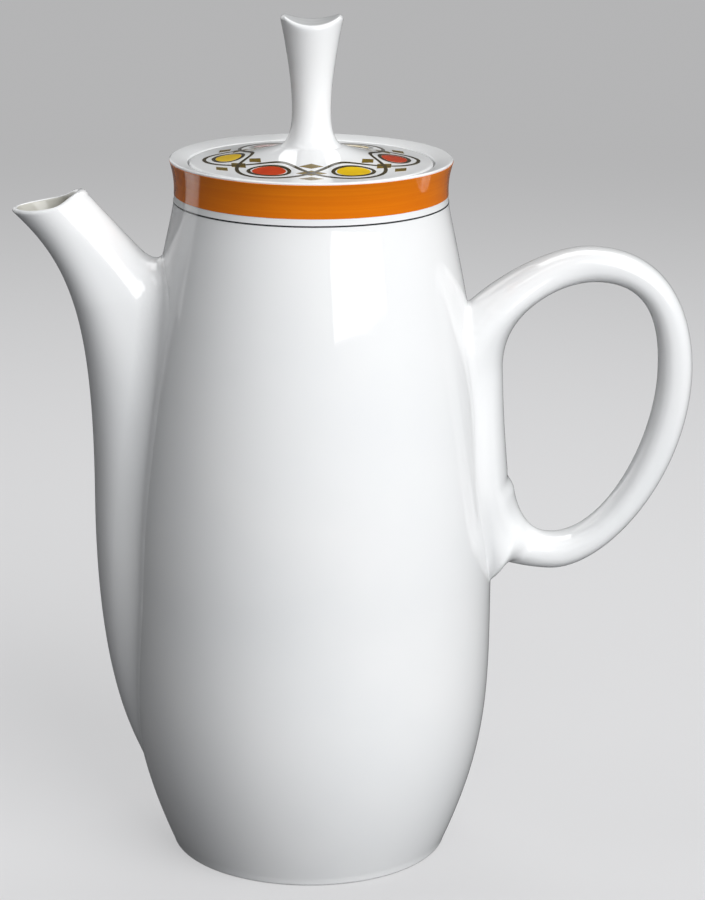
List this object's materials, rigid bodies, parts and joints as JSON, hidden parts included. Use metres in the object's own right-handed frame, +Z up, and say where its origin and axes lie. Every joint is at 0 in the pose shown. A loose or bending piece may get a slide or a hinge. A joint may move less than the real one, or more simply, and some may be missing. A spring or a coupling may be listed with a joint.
{
  "type": "coffee pot",
  "caption": "Tall porcelain coffee pot with a luted spout and ring handle, and a loose lid with a tall saddle-topped knob.",
  "frame": {"origin": "on the body's axis, at the plane of the foot's standing ring", "axes": "+Z up along the body's axis, +X towards the handle, -X towards the spout"},
  "size_m": [0.2077, 0.1132, 0.2618],
  "materials": {
    "body_porcelain": "clear gloss glaze over white porcelain, unglazed at the foot",
    "spout_porcelain": "clear gloss glaze over white porcelain",
    "handle_porcelain": "clear gloss glaze over white porcelain",
    "orange_enamel": "hand-banded orange enamel under gloss",
    "black_enamel": "thin banded black enamel line",
    "lid_porcelain": "clear gloss glaze over white porcelain, printed ring of coloured motifs",
    "knob_porcelain": "clear gloss glaze over white porcelain"
  },
  "bodies": {
    "pot": {"pot_body": "body_porcelain", "spout": "spout_porcelain", "handle": "handle_porcelain", "orange_band": "orange_enamel", "black_line": "black_enamel"},
    "lid": {"lid": "lid_porcelain", "lid_knob": "knob_porcelain"}
  },
  "joints": [
    {"name": "lid_lift", "type": "slide", "parent": "pot", "child": "lid", "axis": [0, 0, 1], "range_m": [0, 0.06]}
  ]
}
